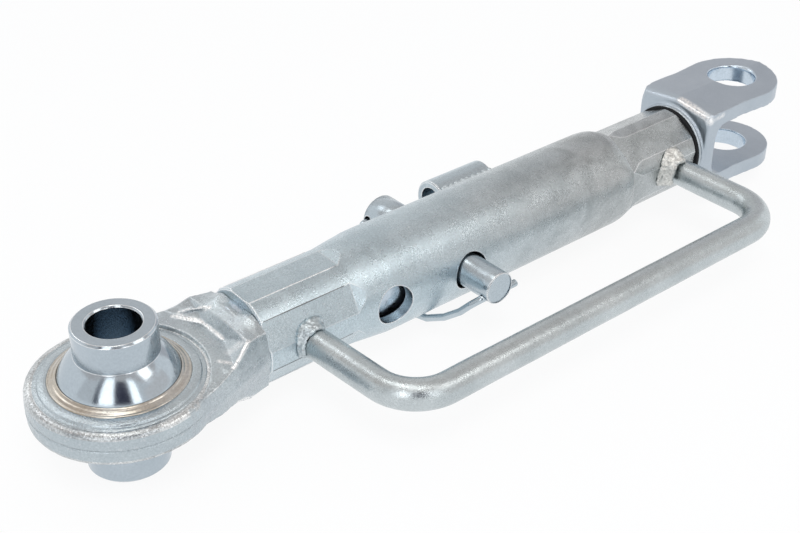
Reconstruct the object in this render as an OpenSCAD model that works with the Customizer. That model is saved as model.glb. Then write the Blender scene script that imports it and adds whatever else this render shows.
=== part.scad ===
// Telescopic lower link stabilizer: a ball eye that slides in a tube with a pinned slot,
// and a fork that screws in and out of the other end.
// Millimetres. The origin is the centre of the ball, +X runs along the tube to the fork,
// +Z is the axis of the ball's bore, and the handle is on the -Y side.

/* [Tube] */
// Outer diameter of the tube
tube_d = 57; // [54:0.5:60]
// Wall of the tube
tube_wall = 6; // [5:0.5:7]
// Start of the tube from the ball's centre
tube_x0 = 66.3; // [64:0.1:72]
// Length of the tube
tube_len = 315; // [280:1:340]
// Radius of the swaged end at the eye
swage_eye_r = 26; // [25.5:0.1:27]
// Distance of the swage flats at the eye from the axis
flat_eye = 24.8; // [24:0.1:25.4]
// Radius of the swaged end at the fork
swage_fork_r = 24.8; // [24.4:0.1:26]
// Distance of the swage flats at the fork from the axis
flat_fork = 23.3; // [23:0.1:24.2]
// Turn of the six flats at the eye
turn_eye = 27.5; // [0:0.5:60]
// Turn of the six flats at the fork
turn_fork = -5; // [-30:0.5:30]
// Diameter of the two cross holes
cross_hole_d = 21.5; // [20:0.1:23]
// Place of the empty cross hole
empty_hole_x = 143; // [140:0.5:150]
// Place of the lock pin
pin_x = 194.5; // [190:0.5:200]

/* [Handle] */
// Diameter of the handle bar
handle_d = 16; // [14:0.5:18]
// Distance of the bar from the tube's axis
handle_y = 94.8; // [90:0.2:100]
// Root of the leg near the eye
leg_eye_x = 92; // [88:0.5:96]
// Corner of the handle near the eye
corner_eye_x = 95.6; // [92:0.2:98]
// Distance of the leg near the fork from the tube's end
leg_fork_back = 17.3; // [14:0.1:20]
// Radius of the bar's bends
handle_bend = 24; // [20:0.5:30]

/* [Side bush] */
// Outer diameter of the bush
bush_d = 24; // [22:0.5:26]
// Bore of the bush
bush_bore = 16.4; // [16:0.1:17]
// Start of the bush
bush_x0 = 226.7; // [220:0.1:235]
// Length of the bush
bush_len = 40; // [35:0.5:45]

/* [Eye] */
// Outer radius of the eye
eye_r = 44.2; // [42:0.1:46]
// Half thickness of the eye
eye_half = 9.6; // [8.5:0.1:11]
// Radius of the ball
ball_r = 31; // [30:0.1:32]
// Radius of the ball's collars
collar_r = 20; // [19:0.1:21]
// Half width of the ball over its collars
ball_half = 39; // [36:0.5:40]
// Bore of the ball
ball_bore = 25.4; // [25.4:0.1:25.8]
// Outer radius of the race rings
race_r = 33.2; // [32.6:0.1:34]
// Clearance between the ball and its races
ball_gap = 0.3; // [0.2:0.05:0.4]
// Stroke of the eye in the tube
stroke = 50; // [40:1:50]

/* [Fork] */
// Distance of the fork's bore from the tube's end
fork_reach = 58.7; // [55:0.1:62]
// Height of the fork's centre over the tube's axis
fork_lift = 2.8; // [0:0.1:5]
// Bore of the fork
fork_bore = 29; // [28:0.1:30]
// Radius of the ears
ear_r = 28.2; // [27:0.1:29]
// Gap between the ears
fork_gap = 34; // [32:0.5:35]
// Thickness of an ear at its ridge
ear_t = 11.6; // [11:0.1:13]
// Width of the chamfer round the fork's bore
fork_chamfer = 1.8; // [1:0.1:2.4]
// Diameter of the screwed shank
screw_d = 36; // [34:0.5:38]
// Reach of the screw, its play in the thread
screw_play = 0.05; // [0.02:0.01:0.08]

/* [Lock pin and bail] */
// Diameter of the pin
pin_d = 18; // [16:0.5:19]
// Diameter of the pin's head
pin_head_d = 24; // [22:0.5:26]
// Tip of the pin on the handle side
pin_tip_y = -50; // [-52:0.5:-46]
// End of the pin's head
pin_head_y = 48.5; // [46:0.5:50]
// Diameter of the bail's wire
wire_d = 4; // [3.5:0.1:4.5]
// Turn of the pin about its own axis
pin_turn = 9; // [0:0.5:20]
// Place of the wire in the pin's tip
tip_wire_y = -45.8; // [-46.5:0.1:-44]
// Place of the wire in the pin's head
head_wire_y = 44; // [43:0.1:44.5]
// Height of the wire in the head's hole
head_wire_z = -0.6; // [-0.9:0.1:0]
// Reach of the wire's ends past the pin's axis
wire_end = 16.5; // [14:0.5:18]

/* [Hidden] */
$fn = 64;
tube_r = tube_d / 2;
tube_x1 = tube_x0 + tube_len;
bore_r = tube_r - tube_wall;
leg_fork_x = tube_x1 - leg_fork_back;
fork_x = tube_x1 + fork_reach;
slide_r = swage_eye_r - tube_wall;
slider_r = slide_r - 0.05;
screw_r = screw_d / 2;
shank_r = screw_r - screw_play;
eye_taper_x0 = 117;
eye_taper_x1 = 150;
fork_taper_x0 = tube_x1 - 65.3;
fork_taper_x1 = fork_taper_x0 + 20;
fork_flat_x0 = fork_taper_x0 + 8.9;
slider_x1 = 262;
bush_y = tube_r + bush_d / 2;
seal_x0 = tube_x1;
seal_t = 3;
shoulder_x0 = seal_x0 + seal_t;
shank_x0 = fork_taper_x0 - 16;
block_x0 = tube_x1 + 5.3;
ear_half = fork_gap / 2 + ear_t;
seal_r = swage_fork_r + 0.3;
race_in_r = ball_r + ball_gap;
head_y0 = tube_r + 0.3;

silver = [0.76, 0.79, 0.83];
steel = [0.66, 0.69, 0.73];
gold = [0.72, 0.64, 0.48];
dull = [0.80, 0.80, 0.78];
dark = [0.09, 0.09, 0.10];

// A turned shape about the tube's axis, from points of place along X and radius
module turned(pts, n = 96) {
    rotate([0, 90, 0])
        rotate_extrude($fn = n)
            polygon([for (p = pts) [p[1], p[0]]]);
}

// A round bar along X
module bar_x(x0, x1, r, n = 64) {
    translate([x0, 0, 0])
        rotate([0, 90, 0])
            cylinder(h = x1 - x0, r = r, $fn = n);
}

// A round bar along Y through a point of X and Z
module bar_y(x, z, y0, y1, r, n = 64) {
    translate([x, y0, z])
        rotate([-90, 0, 0])
            cylinder(h = y1 - y0, r = r, $fn = n);
}

// A plate in the X and Z plane, drawn from Y = y0 to y1
module plate_y(y0, y1, pts) {
    translate([0, y1, 0])
        rotate([90, 0, 0])
            linear_extrude(y1 - y0)
                polygon(pts);
}

// A bent round bar through the points, with all corners on one bend radius
function unit(v) = v / norm(v);

// Places and directions along one corner
function corner(a, b, c, bend_r, steps) =
    let (d1 = unit(b - a), d2 = unit(c - b), turn = acos(d1 * d2), cut = bend_r * tan(turn / 2),
         w = -unit(d2 - (d1 * d2) * d1), centre = b - d1 * cut - w * bend_r)
    [for (k = [0:steps]) let (t = turn * k / steps)
        [centre + bend_r * (w * cos(t) + d1 * sin(t)), d1 * cos(t) - w * sin(t)]];

function bar_path(pts, bend_r, steps) =
    let (last = len(pts) - 1)
    concat([[pts[0], unit(pts[1] - pts[0])]],
           [for (i = [1:last - 1]) each corner(pts[i - 1], pts[i], pts[i + 1], bend_r, steps)],
           [[pts[last], unit(pts[last] - pts[last - 1])]]);

// The side direction carried along the path without twist
function carried(path, n, i = 0) =
    i == len(path) ? [] :
    let (t = path[i][1], m = unit(n - (n * t) * t))
    concat([m], carried(path, m, i + 1));

function bar_rings(path, sides, r, n) =
    [for (i = [0:len(path) - 1])
        [for (k = [0:n - 1])
            path[i][0] + r * (cos(360 * k / n) * sides[i] + sin(360 * k / n) * cross(path[i][1], sides[i]))]];

module bent_bar(pts, bend_r, d, n, steps, side) {
    path = bar_path(pts, bend_r, steps);
    skin(bar_rings(path, carried(path, side), d / 2, n));
}

// The six pressed flats of a swaged end
module eye_flats() {
    for (k = [0:5])
        rotate([60 * k + 90 - turn_eye, 0, 0])
            plate_y(-20, 20, [[tube_x0 - 1, flat_eye], [120.5, flat_eye], [130.7, 27.6], [130.7, 40],
                              [tube_x0 - 1, 40]]);
}

module fork_flats() {
    for (k = [0:5])
        rotate([60 * k + 90 - turn_fork, 0, 0])
            plate_y(-20, 20, [[fork_flat_x0, flat_fork], [tube_x1 + 1, flat_fork], [tube_x1 + 1, 40],
                              [fork_flat_x0 - 3.3, 40], [fork_flat_x0 - 3.3, tube_r]]);
}

// The outside of the tube without its bore
module tube_outside() {
    difference() {
        turned([[tube_x0, 0], [tube_x0, swage_eye_r - 0.8], [tube_x0 + 0.8, swage_eye_r],
                [eye_taper_x0, swage_eye_r], [eye_taper_x0 + 6, swage_eye_r + 0.15],
                [eye_taper_x0 + 16, swage_eye_r + 1.25], [eye_taper_x0 + 27, tube_r - 0.15],
                [eye_taper_x1, tube_r], [fork_taper_x0, tube_r], [fork_taper_x0 + 4, tube_r - 0.4],
                [fork_taper_x0 + 16, swage_fork_r + 0.4], [fork_taper_x1, swage_fork_r],
                [tube_x1 - 0.8, swage_fork_r], [tube_x1, swage_fork_r - 0.8], [tube_x1, 0]]);
        eye_flats();
        fork_flats();
    }
}

module tube() {
    color(silver)
        difference() {
            tube_outside();
            turned([[tube_x0 - 1, 0], [tube_x0 - 1, slide_r], [eye_taper_x0, slide_r],
                    [eye_taper_x1, bore_r], [fork_taper_x0 - 6, bore_r], [fork_taper_x0 + 6, screw_r],
                    [tube_x1 + 1, screw_r], [tube_x1 + 1, 0]]);
            bar_y(empty_hole_x, 0, -40, 40, cross_hole_d / 2);
            bar_y(pin_x, 0, -40, 40, cross_hole_d / 2);
        }
}

handle_pts = [[leg_eye_x, -20, 0], [corner_eye_x, -handle_y, 0],
              [leg_fork_x, -handle_y, 0], [leg_fork_x, -20, 0]];

module handle() {
    color(silver)
        difference() {
            bent_bar(handle_pts, handle_bend, handle_d, 32, 10, [0, 0, 1]);
            tube_outside();
        }
}

// A run of weld round a leg's root, over part of its turn
module root_weld(x, from, turn, reach, rise) {
    translate([x, 0, 0])
        rotate([90, 0, 0])
            rotate([0, 0, from])
                rotate_extrude(angle = turn, $fn = 48)
                    polygon([[handle_d / 2 - 1, 20], [handle_d / 2 + reach, 20],
                             [handle_d / 2 + reach, flat_fork + 0.5],
                             [handle_d / 2 + reach * 0.75, flat_fork + rise * 0.55],
                             [handle_d / 2 + reach * 0.3, flat_fork + rise],
                             [handle_d / 2 - 1, flat_fork + rise * 1.1]]);
}

module handle_weld_left() {
    color(dull)
        difference() {
            root_weld(leg_eye_x + 0.4, 55, 150, 4.2, 6);
            tube_outside();
            bar_y(leg_eye_x + 0.4, 0, -60, 0, handle_d / 2 + 0.2);
        }
}

module handle_weld_right() {
    color(dull)
        difference() {
            root_weld(leg_fork_x, 70, 140, 7, 8);
            tube_outside();
            bar_y(leg_fork_x, 0, -60, 0, handle_d / 2);
        }
}

module side_bush() {
    color(silver)
        translate([0, bush_y, 0])
            difference() {
                turned([[bush_x0, 0], [bush_x0, bush_d / 2 - 0.8], [bush_x0 + 0.8, bush_d / 2],
                        [bush_x0 + bush_len - 0.8, bush_d / 2], [bush_x0 + bush_len, bush_d / 2 - 0.8],
                        [bush_x0 + bush_len, 0]]);
                bar_x(bush_x0 - 1, bush_x0 + bush_len + 1, bush_bore / 2);
            }
}

// The weld that fills the groove between the tube and the bush
module bush_weld() {
    difference() {
        translate([bush_x0 + 1.5, 0, 0])
            rotate([90, 0, 90])
                linear_extrude(bush_len - 3)
                    polygon([[tube_r - 6, 3], [tube_r - 6, 13.5], [tube_r - 2.2, 13.2], [tube_r + 1.6, 11.6],
                             [tube_r + 4.6, 11.2], [tube_r + 8, 10.5], [tube_r + 8, 3]]);
        bar_x(bush_x0 - 1, bush_x0 + bush_len + 1, tube_r, 96);
        translate([0, bush_y, 0])
            bar_x(bush_x0 - 1, bush_x0 + bush_len + 1, bush_d / 2);
    }
}

module bush_weld_upper() {
    color(dull)
        bush_weld();
}

module bush_weld_lower() {
    color(dull)
        mirror([0, 0, 1])
            bush_weld();
}

// One cross section of the forging: half widths at the side, the crest and the top, and the crown
function ring(x, side, crest, crest_z, top, top_z, crown_z) = [
    [x, side, 0], [x, crest, crest_z], [x, top, top_z], [x, 0, crown_z], [x, -top, top_z],
    [x, -crest, crest_z], [x, -side, 0], [x, -crest, -crest_z], [x, -top, -top_z], [x, 0, -crown_z],
    [x, top, -top_z], [x, crest, -crest_z]];

module skin(rings) {
    n = len(rings[0]);
    m = len(rings) - 1;
    polyhedron(
        points = [for (r = rings) for (p = r) p],
        faces = concat(
            [[for (i = [0:n - 1]) i]],
            [for (k = [0:m - 1]) for (i = [0:n - 1]) [k * n + i, (k + 1) * n + i, k * n + (i + 1) % n]],
            [for (k = [0:m - 1]) for (i = [0:n - 1])
                [k * n + (i + 1) % n, (k + 1) * n + i, (k + 1) * n + (i + 1) % n]],
            [[for (i = [n - 1:-1:0]) m * n + i]]));
}

// The hollow between the two ramps of the forging, on its upper side: foot, rim and open top
recess_pts = [[30, 36, 10.1], [43.1, 30.3, 10.1], [43.8, 24.5, 10.1], [47, 16.5, 10.1], [50.2, 12.2, 10.1],
              [52, 8, 10.1], [55, 12.5, 17.2], [54.5, 25.2, 16.3], [58, 13, 25], [57, 28, 25], [30, 40, 25]];

module recess() {
    hull()
        polyhedron(
            points = [for (s = [-1, 1]) for (p = recess_pts) [p[0], s * p[1], p[2]]],
            faces = [[for (i = [0:len(recess_pts) - 1]) i],
                     [for (i = [0:len(recess_pts) - 1]) i + len(recess_pts)]]);
}

// The eye's edge from its bore out to the parting line, and the same way back
eye_edge = [[race_r - 4, eye_half - 4], [race_r, eye_half + 0.8], [eye_r - 6.7, eye_half],
            [eye_r - 6.3, eye_half - 0.5], [eye_r - 4.4, eye_half - 0.5], [eye_r - 4.1, eye_half - 0.8],
            [eye_r - 2.2, eye_half - 1.2], [eye_r - 0.8, eye_half - 2.1], [eye_r - 0.3, eye_half - 3.2],
            [eye_r - 0.2, eye_half - 4], [eye_r, 0.4]];
eye_edge_back = [for (k = [len(eye_edge) - 1:-1:0]) eye_edge[k]];

module eye_end() {
    color(silver)
        difference() {
            union() {
                rotate_extrude($fn = 128)
                    polygon([for (s = [1, -1]) for (q = s > 0 ? eye_edge : eye_edge_back) [q[0], s * q[1]]]);
                difference() {
                    skin([ring(14, 41.6, 39.4, 7, 30, 10.1, 10.1),
                          ring(30.5, 37.2, 35.6, 8.6, 26, 10.1, 10.1),
                          ring(38, 34.5, 32.6, 9.4, 25, 10.1, 10.1),
                          ring(43.4, 32.8, 30.4, 10.4, 22, 12, 12),
                          ring(48.5, 31.2, 27.4, 13.6, 20, 14.6, 15),
                          ring(54.5, 29.4, 25.3, 16.2, 13, 17, 17.4),
                          ring(60, 27.8, 24, 16.1, 12.5, 17.9, 19),
                          ring(65.7, 26, 23, 15.6, 12, 19, 20.6)]);
                    recess();
                    mirror([0, 0, 1])
                        recess();
                    for (side = [0, 1])
                        mirror([0, 0, side])
                            translate([0, 0, eye_half - 0.7])
                                cylinder(h = 10, r = eye_r - 2.7, $fn = 128);
                }
                bar_x(60, slider_x1 - 2, slider_r, 96);
                turned([[slider_x1 - 2, 0], [slider_x1 - 2, slider_r], [slider_x1, slider_r - 2],
                        [slider_x1, 0]]);
            }
            translate([0, 0, -20])
                cylinder(h = 40, r = race_r, $fn = 128);
            translate([pin_x, -30, -cross_hole_d / 2])
                cube([stroke, 60, cross_hole_d]);
            bar_y(pin_x, 0, -30, 30, cross_hole_d / 2);
            bar_y(pin_x + stroke, 0, -30, 30, cross_hole_d / 2);
        }
}

module race() {
    difference() {
        rotate_extrude($fn = 128)
            polygon([[ball_r - 5, 0.2], [race_r, 0.2], [race_r, eye_half + 0.9], [ball_r - 2, eye_half + 2.9],
                     [ball_r - 2.4, eye_half + 3.1], [ball_r - 5, eye_half + 3.1]]);
        sphere(r = race_in_r, $fn = 128);
    }
}

module race_upper() {
    color(gold)
        race();
}

module race_lower() {
    color(gold)
        mirror([0, 0, 1])
            race();
}

module ball() {
    color(steel)
        difference() {
            union() {
                sphere(r = ball_r, $fn = 128);
                rotate_extrude($fn = 96)
                    polygon([[0, -ball_half], [collar_r - 1, -ball_half], [collar_r, -ball_half + 1],
                             [collar_r, ball_half - 1], [collar_r - 1, ball_half], [0, ball_half]]);
            }
            rotate_extrude($fn = 96)
                polygon([[0, -ball_half - 1], [ball_bore / 2 + 0.8, -ball_half - 1],
                         [ball_bore / 2 + 0.8, -ball_half], [ball_bore / 2, -ball_half + 0.8],
                         [ball_bore / 2, ball_half - 0.8], [ball_bore / 2 + 0.8, ball_half],
                         [ball_bore / 2 + 0.8, ball_half + 1], [0, ball_half + 1]]);
        }
}

module seal_ring() {
    color(dark)
        turned([[seal_x0, screw_r + 0.05], [seal_x0, seal_r - 0.5], [seal_x0 + 0.5, seal_r],
                [seal_x0 + seal_t - 0.5, seal_r], [seal_x0 + seal_t, seal_r - 0.5],
                [seal_x0 + seal_t, screw_r + 0.05]]);
}

// The room between the ears, seen from the side, with its rounded throat
fork_room = [for (s = [-1, 1]) for (q = s < 0
    ? [[fork_x + 50, 0], [fork_x - 37, 0], [fork_x - 41, 1], [fork_x - 43.8, 3.6], [fork_x - 45, 8]]
    : [[fork_x - 45, 8], [fork_x - 43.8, 3.6], [fork_x - 41, 1], [fork_x - 37, 0], [fork_x + 50, 0]])
    [q[0], s * (fork_gap / 2 - q[1])]];

// Half of the fork's outline from above
fork_half = [[block_x0, ear_r - 2.6], [block_x0 + 1.6, ear_r - 1.7], [block_x0 + 5.4, ear_r - 1.4],
             [fork_x - 36, ear_r - 0.8], [fork_x - 28, ear_r - 1.2], [fork_x - 21, ear_r - 1.4],
             [fork_x - 14, ear_r - 1], [fork_x - 6, ear_r - 0.3], [fork_x, ear_r]];

// A cross section of the fork, given by how far it stands off the ears' radius and half height
function fork_ring(x, side, side_drop, top, top_drop, crown_drop) =
    ring(x, ear_r + side, ear_r + side, ear_half - side_drop, ear_r + top, ear_half - top_drop,
         ear_half - crown_drop);

// The fork's forging: a flat box with a low roof on both sides, its back edges rounded off
module fork_body() {
    skin([fork_ring(block_x0, -2.2, 13, -4.8, 6.4, 2.2),
          fork_ring(block_x0 + 1.4, -1.2, 11.4, -3.2, 4.8, 0.9),
          fork_ring(block_x0 + 4.4, -0.2, 8, -1.8, 3.3, 0.1),
          fork_ring(block_x0 + 10, 0.8, 6, -0.6, 2.7, 0),
          fork_ring(fork_x + ear_r + 11.8, 1.8, 5.6, 0.2, 2.5, 0)]);
}

module clevis() {
    color(silver)
        difference() {
            union() {
                translate([0, 0, fork_lift])
                    difference() {
                        intersection() {
                            fork_body();
                            translate([0, 0, -60])
                                linear_extrude(120)
                                    union() {
                                        polygon(concat([for (q = fork_half) [q[0], -q[1]]],
                                                       [for (k = [len(fork_half) - 1:-1:0]) fork_half[k]]));
                                        translate([fork_x, 0])
                                            circle(r = ear_r, $fn = 96);
                                    }
                        }
                        plate_y(-40, 40, fork_room);
                    }
                turned([[shank_x0, 0], [shank_x0, shank_r - 2], [shank_x0 + 2, shank_r],
                        [shoulder_x0, shank_r],
                        [shoulder_x0, seal_r + 0.1], [shoulder_x0 + 0.6, seal_r + 0.8],
                        [block_x0 + 1, seal_r + 0.8], [block_x0 + 1, 0]]);
            }
            translate([fork_x, 0, fork_lift])
                rotate_extrude($fn = 96)
                    polygon([[0, -ear_half - 1], [fork_bore / 2 + fork_chamfer + 1, -ear_half - 1],
                             [fork_bore / 2 + fork_chamfer, -ear_half], [fork_bore / 2, -ear_half + fork_chamfer],
                             [fork_bore / 2, ear_half - fork_chamfer], [fork_bore / 2 + fork_chamfer, ear_half],
                             [fork_bore / 2 + fork_chamfer + 1, ear_half + 1], [0, ear_half + 1]]);
        }
}

// Puts a shape drawn round the Y axis where the pin is, with the pin's turn
module at_pin() {
    translate([pin_x, 0, 0])
        rotate([0, pin_turn, 0])
            children();
}

module lock_pin() {
    color(steel)
        at_pin()
            difference() {
                rotate([-90, 0, 0])
                    rotate_extrude($fn = 64)
                        polygon([[0, pin_tip_y], [pin_d / 2 - 1, pin_tip_y], [pin_d / 2, pin_tip_y + 1],
                                 [pin_d / 2, head_y0], [pin_head_d / 2 - 0.8, head_y0],
                                 [pin_head_d / 2, head_y0 + 0.8], [pin_head_d / 2, pin_head_y - 1.2],
                                 [pin_head_d / 2 - 1.2, pin_head_y], [0, pin_head_y]]);
                translate([0, tip_wire_y, 0])
                    bar_x(-20, 20, wire_d / 2 + 0.4, 32);
                translate([0, head_wire_y, 0])
                    bar_x(-20, 20, wire_d / 2 + 0.9, 32);
            }
}

// A corner that keeps its distance from the tube
function round_tube(x, y, z) = let (r = norm([y, z]), k = (r + tube_r - 28.5) / r) [x, k * y, k * z];

// The bail's corners round the pin: along the pin's cross holes, its own axis and square to both
bail_pts = [
    [wire_end, tip_wire_y, -0.2], [-12.4, tip_wire_y - 0.2, -0.2], [-12.5, -45, -7.4],
    round_tube(-12.7, -36.6, -16.6), round_tube(-12.9, -26.2, -25.4), round_tube(-13.2, -14, -32),
    round_tube(-13.6, 0, -34.6), round_tube(-14.2, 14, -33.4), round_tube(-14.9, 28, -26.6),
    [-15.6, 39, -15.6], [-15.9, head_wire_y, head_wire_z], [wire_end, head_wire_y, head_wire_z]];

module wire_bail() {
    color(steel)
        at_pin()
            bent_bar(bail_pts, 3.6, wire_d, 16, 4, [0, 0, 1]);
}

tube();
handle();
handle_weld_left();
handle_weld_right();
side_bush();
bush_weld_upper();
bush_weld_lower();
eye_end();
race_upper();
race_lower();
ball();
seal_ring();
clevis();
lock_pin();
wire_bail();
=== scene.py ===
import bpy
import bmesh
import math
from mathutils import Matrix, Vector, noise


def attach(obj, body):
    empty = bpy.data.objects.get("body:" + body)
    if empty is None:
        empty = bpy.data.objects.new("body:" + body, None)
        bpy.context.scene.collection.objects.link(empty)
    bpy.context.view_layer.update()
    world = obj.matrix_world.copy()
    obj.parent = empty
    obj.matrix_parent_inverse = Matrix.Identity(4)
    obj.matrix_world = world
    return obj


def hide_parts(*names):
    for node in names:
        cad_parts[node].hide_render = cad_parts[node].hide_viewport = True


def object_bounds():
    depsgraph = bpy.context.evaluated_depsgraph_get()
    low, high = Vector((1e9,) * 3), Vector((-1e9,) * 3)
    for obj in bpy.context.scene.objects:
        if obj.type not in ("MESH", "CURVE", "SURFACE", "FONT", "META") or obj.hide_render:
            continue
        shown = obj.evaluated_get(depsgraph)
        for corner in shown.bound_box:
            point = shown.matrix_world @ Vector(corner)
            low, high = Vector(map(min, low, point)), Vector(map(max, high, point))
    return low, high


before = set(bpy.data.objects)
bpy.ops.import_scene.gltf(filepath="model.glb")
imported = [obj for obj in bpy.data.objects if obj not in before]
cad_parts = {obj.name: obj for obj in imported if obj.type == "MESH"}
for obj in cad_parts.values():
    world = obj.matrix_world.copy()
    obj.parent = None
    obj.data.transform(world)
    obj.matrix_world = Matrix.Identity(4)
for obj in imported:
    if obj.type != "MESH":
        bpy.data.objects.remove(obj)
cad_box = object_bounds()

MM = 0.001

# Sizes of the construction in millimetres
SWAGE_R = 26.0
FLAT_R = 24.8
HANDLE_Y = 94.8
PIN_X = 194.5
PIN_R = 9.0
PIN_END_Y = -50.0
EAR_X = 440.0
FORK_LIFT = 2.8
FORK_X0 = 385.2

# Half the size of a cutting box that takes in the whole section, in millimetres
WIDE = 60.0


# Camera

AZIMUTH = math.radians(-40.59)
ELEVATION = math.radians(32.59)
ROLL = math.radians(0.49)
DISTANCE = 0.74486
TARGET = Vector((0.16914, 0.0, -0.00063))
FOCAL_MM = 63.28

back = Vector((math.sin(AZIMUTH) * math.cos(ELEVATION),
               -math.cos(AZIMUTH) * math.cos(ELEVATION),
               math.sin(ELEVATION)))
level = Vector((math.cos(AZIMUTH), math.sin(AZIMUTH), 0.0))
rise = back.cross(level)
right = math.cos(ROLL) * level + math.sin(ROLL) * rise
up = -math.sin(ROLL) * level + math.cos(ROLL) * rise

cam_data = bpy.data.cameras.new("camera")
cam_data.lens = FOCAL_MM
cam_data.sensor_width = 36.0
cam_data.sensor_fit = "HORIZONTAL"
cam_data.clip_start = 0.01
cam_data.clip_end = 50.0
cam = bpy.data.objects.new("camera", cam_data)
bpy.context.scene.collection.objects.link(cam)
place = Matrix((right, up, back)).transposed().to_4x4()
place.translation = TARGET + DISTANCE * back
cam.matrix_world = place
bpy.context.scene.camera = cam
bpy.context.scene.view_settings.view_transform = "Standard"


# Objects and meshes

def link(obj):
    bpy.context.scene.collection.objects.link(obj)
    return obj


def shade_smooth(mesh):
    mesh.polygons.foreach_set("use_smooth", [True] * len(mesh.polygons))
    mesh.update()


def mesh_object(name, verts, faces):
    mesh = bpy.data.meshes.new(name)
    mesh.from_pydata([tuple(v) for v in verts], [], faces)
    bm = bmesh.new()
    bm.from_mesh(mesh)
    bmesh.ops.recalc_face_normals(bm, faces=bm.faces)
    bm.to_mesh(mesh)
    bm.free()
    shade_smooth(mesh)
    return link(bpy.data.objects.new(name, mesh))


def apply_modifiers(obj):
    deps = bpy.context.evaluated_depsgraph_get()
    deps.update()
    mesh = bpy.data.meshes.new_from_object(obj.evaluated_get(deps))
    mesh.name = obj.name
    obj.modifiers.clear()
    obj.data = mesh
    shade_smooth(mesh)


# Materials

def empty_tree(owner):
    """Turns nodes on for a material or a world, and takes out the ones it comes with."""
    owner.use_nodes = True
    nt = owner.node_tree
    for n in list(nt.nodes):
        nt.nodes.remove(n)
    return nt


def tree(name):
    mat = bpy.data.materials.new(name)
    return mat, empty_tree(mat)


def put(nt, kind, **values):
    """A new node with some of its own properties set."""
    node = nt.nodes.new(kind)
    for key, value in values.items():
        setattr(node, key, value)
    return node


def ramp(nt, source, stops):
    """The colour that a value has on a colour ramp."""
    node = nt.nodes.new("ShaderNodeValToRGB")
    nt.links.new(source, node.inputs["Fac"])
    els = node.color_ramp.elements
    while len(els) < len(stops):
        els.new(0.5)
    for el, (pos, col) in zip(els, stops):
        el.position = pos
        el.color = (col[0], col[1], col[2], 1.0)
    return node.outputs["Color"]


def grey(v):
    return (v, v, v)


def noise_node(nt, coord, scale, detail=3.0, rough=0.5, distortion=0.0):
    node = put(nt, "ShaderNodeTexNoise")
    node.inputs["Scale"].default_value = scale
    node.inputs["Detail"].default_value = detail
    node.inputs["Roughness"].default_value = rough
    node.inputs["Distortion"].default_value = distortion
    nt.links.new(coord, node.inputs["Vector"])
    return node.outputs["Fac"]


def turning_marks(nt, coord):
    """Fine rings about the Z axis, as a lathe leaves them."""
    split = put(nt, "ShaderNodeSeparateXYZ")
    nt.links.new(coord, split.inputs[0])
    flat = put(nt, "ShaderNodeCombineXYZ")
    nt.links.new(split.outputs["X"], flat.inputs["X"])
    nt.links.new(split.outputs["Y"], flat.inputs["Y"])
    far = put(nt, "ShaderNodeVectorMath", operation="LENGTH")
    nt.links.new(flat.outputs[0], far.inputs[0])
    place = put(nt, "ShaderNodeCombineXYZ")
    nt.links.new(far.outputs["Value"], place.inputs["X"])
    nt.links.new(split.outputs["Z"], place.inputs["Y"])
    return noise_node(nt, place.outputs[0], 2600.0, 2.0, 0.6)


# How far the worn part's border wanders along X, in metres
WANDER = 0.09
PALE_FLECK = (0.92, 0.93, 0.95, 1.0)
# Pale colour of the painted highlight along edges
EDGE_HIGHLIGHT = (0.88, 0.90, 0.92, 1.0)
# Pale colour of the painted highlight along a forging's ridges
PAINTED_HIGHLIGHT_STRIP = (0.95, 0.95, 0.95, 1.0)
DENT_DEPTH = 0.0006
GRAIN_DEPTH = 0.0002


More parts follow.
